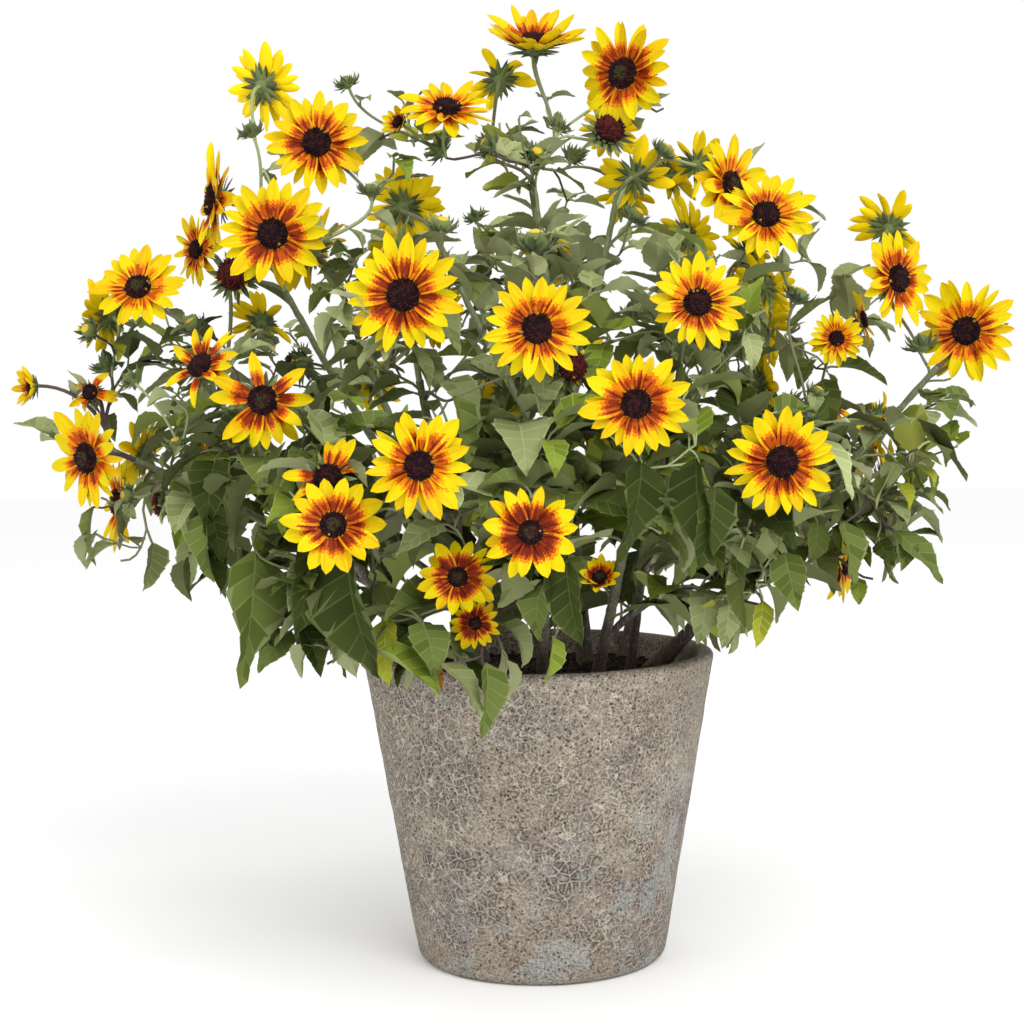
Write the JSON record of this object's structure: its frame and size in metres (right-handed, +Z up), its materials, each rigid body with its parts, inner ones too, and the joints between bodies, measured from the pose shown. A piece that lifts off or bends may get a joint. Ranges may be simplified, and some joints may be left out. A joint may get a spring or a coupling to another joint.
{
  "type": "potted dwarf sunflower plant",
  "caption": "Branching dwarf sunflower in a conical rough ceramic pot: leaning stems and boughs rise from the compost into a wide open crown of leaves and yellow and red-brown blooms.",
  "frame": {"origin": "centre of the pot's flat underside", "axes": "+Z up out of the pot, -Y towards the side that shows the most blooms, +X to the right when seen from that side"},
  "size_m": [0.84, 0.631, 0.798],
  "materials": {
    "pot": "rough, pitted, unglazed grey-brown with pale and bluish patches",
    "compost": "dark, moist, crumbly bark and peat",
    "stem": "ribbed, hairy, dark purple-brown low down and green higher up",
    "foliage": "matt grey-green leaves; blooms with yellow petals, red-brown inside, round dark discs"
  },
  "bodies": {
    "root": {"bough_back_left": "stem", "bough_left_shoulder": "stem", "bough_left_skirt": "stem", "bough_left_tip": "stem", "bough_right_low": "stem", "bough_right_skirt": "stem", "bough_right_tip": "stem", "bough_shoulder": "stem", "bough_top_right": "stem", "bough_upper_left": "stem", "bough_upper_mid": "stem", "compost": "compost", "foliage_back_far": "foliage", "foliage_back_left_far": "foliage", "foliage_back_left_high": "foliage", "foliage_back_left_low": "foliage", "foliage_back_mid_high": "foliage", "foliage_back_mid_low": "foliage", "foliage_back_right_far": "foliage", "foliage_back_right_high": "foliage", "foliage_back_right_low": "foliage", "foliage_back_top": "foliage", "foliage_front_far_right": "foliage", "foliage_front_left": "foliage", "foliage_front_mid": "foliage", "foliage_front_mid_left": "foliage", "foliage_front_right": "foliage", "foliage_heart_left_high": "foliage", "foliage_heart_mid_high": "foliage", "foliage_heart_right_high": "foliage", "foliage_left_drape_inner": "foliage", "foliage_left_drape_outer": "foliage", "foliage_left_mid": "foliage", "foliage_left_shoulder": "foliage", "foliage_left_skirt": "foliage", "foliage_left_tip": "foliage", "foliage_right_low": "foliage", "foliage_right_mid": "foliage", "foliage_right_shoulder": "foliage", "foliage_right_skirt": "foliage", "foliage_right_small": "foliage", "foliage_right_tip_outer": "foliage", "foliage_right_tip_upper": "foliage", "foliage_rim_left": "foliage", "foliage_top_centre": "foliage", "foliage_top_right": "foliage", "foliage_upper_left_low": "foliage", "foliage_upper_left_top": "foliage", "foliage_upper_mid_left": "foliage", "pot": "pot", "stem_back": "stem", "stem_back_left": "stem", "stem_back_right": "stem", "stem_centre": "stem", "stem_front": "stem", "stem_front_left": "stem", "stem_front_right": "stem", "stem_green": "stem", "stem_left": "stem", "stem_right": "stem"}
  },
  "joints": []
}
